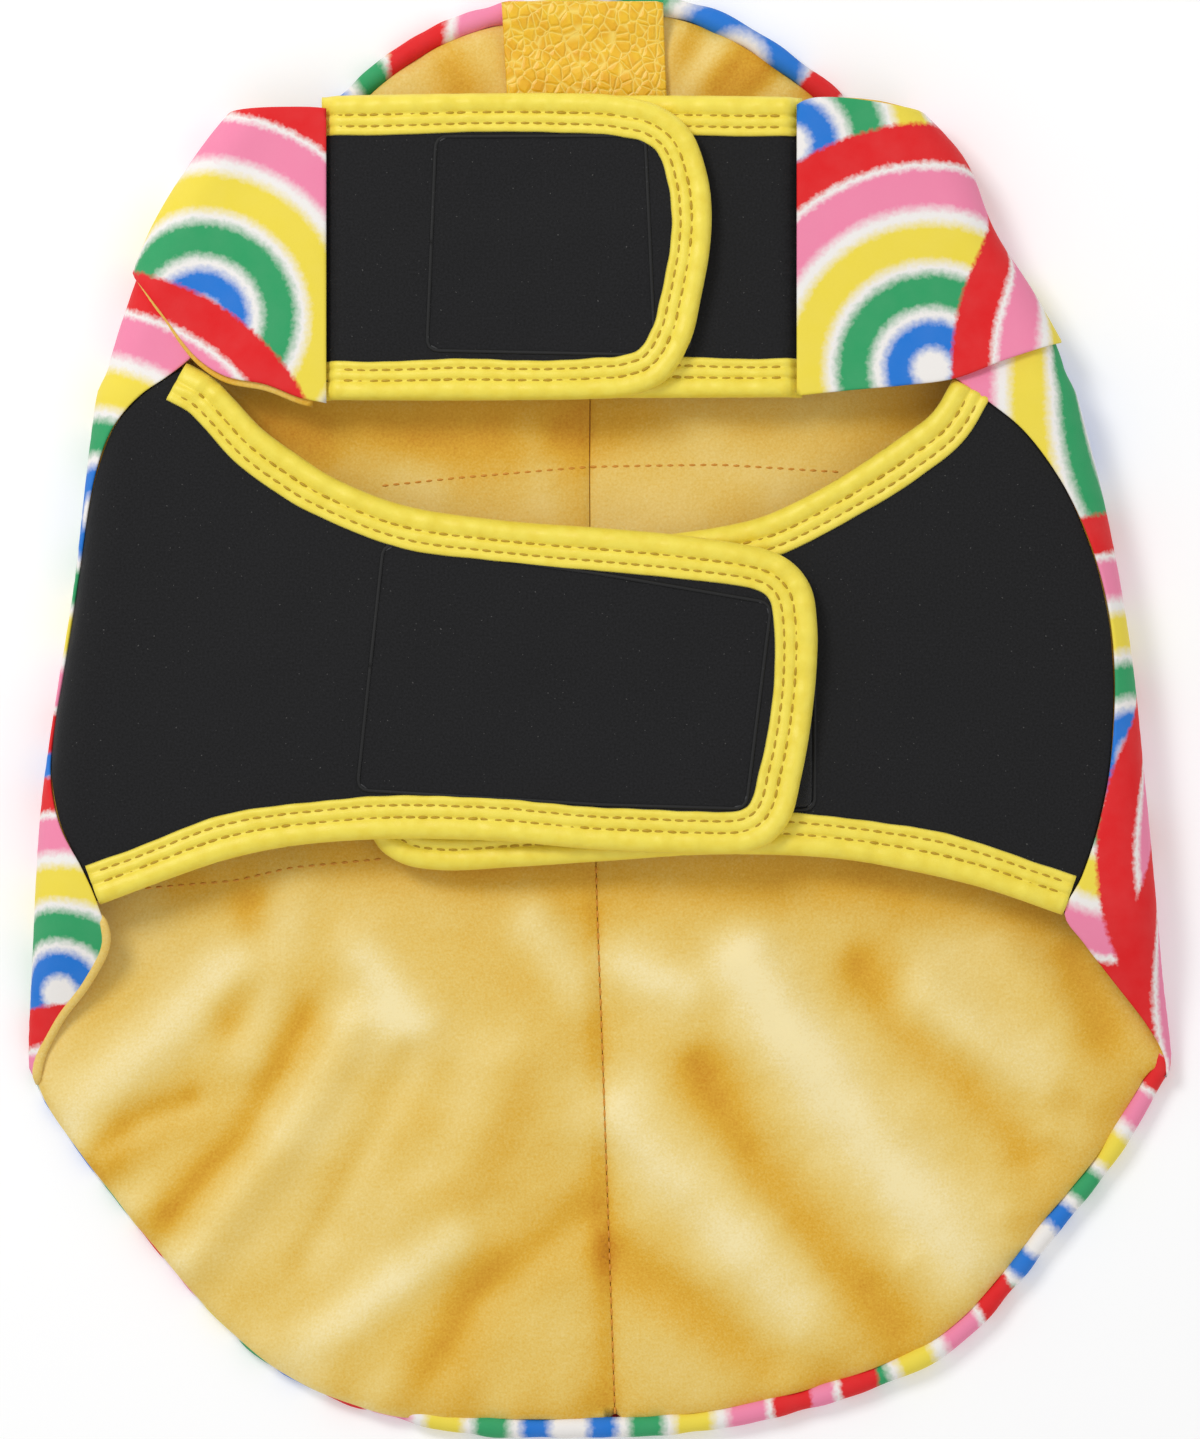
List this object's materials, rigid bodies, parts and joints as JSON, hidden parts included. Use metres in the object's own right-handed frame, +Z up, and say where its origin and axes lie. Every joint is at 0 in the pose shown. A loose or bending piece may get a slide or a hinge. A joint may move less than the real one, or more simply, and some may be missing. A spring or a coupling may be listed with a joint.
{
  "type": "dog coat",
  "caption": "Dog coat lying on its back: lined, padded body with folded sides, overlapping chest tabs and belly wings that close with hook and loop tape, and a leather tab at the neck.",
  "frame": {"origin": "on the surface that the coat lies on, below the middle of its overall box", "axes": "+Z up out of the belly side, +Y along the back towards the neck, +X towards the right side strap"},
  "size_m": [0.3326, 0.422, 0.0273],
  "materials": {
    "print_fabric": "smooth woven polyester, printed all over with overlapping tie-dye rainbows in red, pink, yellow, green and blue on white",
    "wadding": "soft white polyester wadding",
    "velvet_lining": "golden velvet with a short soft pile",
    "black_neoprene": "foam faced with fine black knit, matt",
    "yellow_binding": "yellow stretch binding, slightly satin, with two rows of topstitching",
    "hook_loop_tape": "black hook and loop tape",
    "yellow_leather": "pebbled yellow leather with cut edges"
  },
  "bodies": {
    "coat": {"back_shell": "print_fabric", "back_wadding": "wadding", "back_lining_left": "velvet_lining", "back_lining_right": "velvet_lining", "neck_band": "print_fabric", "hem_band": "print_fabric", "neck_tab": "yellow_leather", "side_shell_left": "print_fabric", "side_shell_right": "print_fabric", "side_lining_left": "velvet_lining", "side_lining_right": "velvet_lining", "shoulder_shell_left": "print_fabric", "shoulder_shell_right": "print_fabric", "shoulder_lining_left": "velvet_lining", "shoulder_lining_right": "velvet_lining", "belly_wing_base_left": "black_neoprene", "belly_wing_base_right": "black_neoprene"},
    "left_chest_tab": {"chest_tab_left": "black_neoprene", "chest_tab_left_binding": "yellow_binding", "chest_tab_hook_tape": "hook_loop_tape"},
    "right_chest_tab": {"chest_tab_right": "black_neoprene", "chest_tab_right_binding": "yellow_binding", "chest_tab_loop_tape": "hook_loop_tape"},
    "left_belly_wing": {"belly_wing_left": "black_neoprene", "belly_wing_left_binding": "yellow_binding", "belly_wing_hook_tape": "hook_loop_tape"},
    "right_belly_wing": {"belly_wing_right": "black_neoprene", "belly_wing_right_binding": "yellow_binding", "belly_wing_loop_tape": "hook_loop_tape"}
  },
  "joints": [
    {"name": "left_chest_tab_opening", "type": "hinge", "parent": "coat", "child": "left_chest_tab", "pos_m": [-0.0783, 0.1343, 0.0232], "axis": [0, -1, 0], "range_deg": [0, 150]},
    {"name": "right_chest_tab_opening", "type": "hinge", "parent": "coat", "child": "right_chest_tab", "pos_m": [0.0565, 0.1343, 0.0232], "axis": [0, 1, 0], "range_deg": [0, 30]},
    {"name": "left_belly_wing_opening", "type": "hinge", "parent": "coat", "child": "left_belly_wing", "pos_m": [-0.12981, 0.0185, 0.0232], "axis": [-0.112, -0.9937, 0], "range_deg": [0, 150]},
    {"name": "right_belly_wing_opening", "type": "hinge", "parent": "coat", "child": "right_belly_wing", "pos_m": [0.12703, 0.0185, 0.0232], "axis": [-0.1527, 0.9883, 0], "range_deg": [0, 57]}
  ],
  "couplings": [
    {"joint": "right_chest_tab_opening", "follows": "left_chest_tab_opening", "ratio": 0.2},
    {"joint": "right_belly_wing_opening", "follows": "left_belly_wing_opening", "ratio": 0.38}
  ]
}
